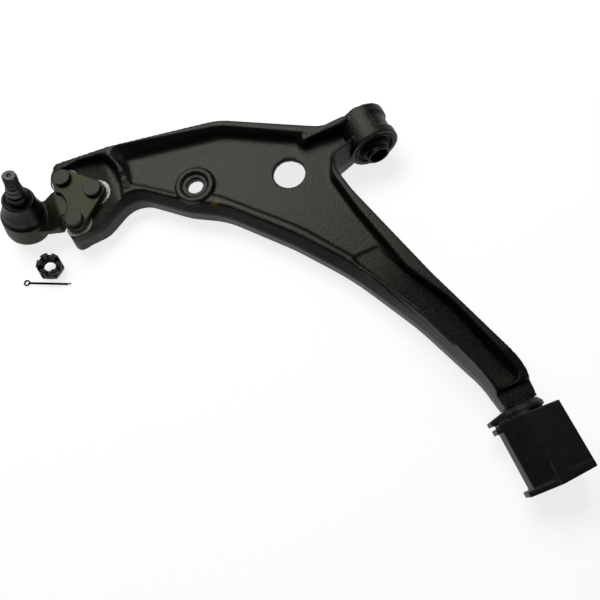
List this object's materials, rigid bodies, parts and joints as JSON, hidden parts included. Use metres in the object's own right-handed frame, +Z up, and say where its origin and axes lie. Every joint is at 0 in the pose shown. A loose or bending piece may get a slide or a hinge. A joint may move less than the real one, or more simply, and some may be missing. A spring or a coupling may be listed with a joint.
{
  "type": "control arm",
  "caption": "Lower control arm with a bush eye, a long leg to a D-shaped rear bush, and a riveted ball joint with booted tapered stud; loose castle nut and split pin.",
  "frame": {"origin": "centre of the front bush, on the pivot axis", "axes": "+Y along the pivot axis to the rear bush, +X outboard towards the ball joint, +Z up, the side the ball stud leaves"},
  "size_m": [0.361, 0.4227, 0.0853],
  "materials": {
    "cast_arm": "satin black paint over a casting",
    "plated_sleeve": "dull plated steel",
    "bush_rubber": "moulded black rubber",
    "phosphated_forging": "phosphated forged steel",
    "ground_steel": "ground bright steel",
    "seat_plastic": "moulded bearing plastic",
    "boot_rubber": "moulded black rubber",
    "plated_fastener": "zinc-plated steel"
  },
  "bodies": {
    "arm": {"arm_forging": "cast_arm", "front_bush_outer_sleeve": "plated_sleeve", "front_bush_rubber": "bush_rubber", "rear_bush_inner_sleeve": "plated_sleeve", "ball_joint_housing": "phosphated_forging", "ball_joint_rivets": "phosphated_forging", "ball_joint_cover": "plated_sleeve", "preload_spring": "ground_steel", "ball_pressure_seat": "seat_plastic", "ball_seat_upper": "seat_plastic", "dust_boot": "boot_rubber", "boot_clip": "ground_steel"},
    "front_sleeve": {"front_bush_inner_sleeve": "plated_sleeve"},
    "rear_block": {"rear_bush_block": "bush_rubber"},
    "leaning_shell": {"bearing_shell": "seat_plastic"},
    "boot_collar": {"boot_collar_ring": "plated_sleeve"},
    "stud": {"ball_stud": "ground_steel"},
    "nut": {"castle_nut": "plated_fastener"},
    "pin": {"cotter_pin": "plated_fastener"}
  },
  "joints": [
    {"name": "front_bush_twist", "type": "hinge", "parent": "arm", "child": "front_sleeve", "pos_m": [0, 0, 0], "axis": [0, 1, 0], "range_deg": [-25, 25], "stiffness_Nm_per_rad": 20},
    {"name": "rear_bush_twist", "type": "hinge", "parent": "arm", "child": "rear_block", "pos_m": [0, 0.2936, 0], "axis": [0, 1, 0], "range_deg": [-25, 25], "stiffness_Nm_per_rad": 20},
    {"name": "stud_fore_aft", "type": "hinge", "parent": "arm", "child": "leaning_shell", "pos_m": [0.3125, -0.0622, 0.003], "axis": [0.9472, 0, 0.3206], "range_deg": [-20, 20], "deforming": ["dust_boot"]},
    {"name": "stud_sideways", "type": "hinge", "parent": "leaning_shell", "child": "boot_collar", "pos_m": [0.3125, -0.0622, 0.003], "axis": [0, 1, 0], "range_deg": [-25, 25], "deforming": ["dust_boot"]},
    {"name": "stud_spin", "type": "hinge", "parent": "boot_collar", "child": "stud", "pos_m": [0.3125, -0.0622, 0.003], "axis": [-0.3206, 0, 0.9472], "continuous": true},
    {"name": "nut_pick_up", "type": "slide", "parent": "arm", "child": "nut", "axis": [0, 0, 1], "range_m": [0, 0.06]},
    {"name": "pin_pick_up", "type": "slide", "parent": "arm", "child": "pin", "axis": [0, 0, 1], "range_m": [0, 0.06]}
  ]
}
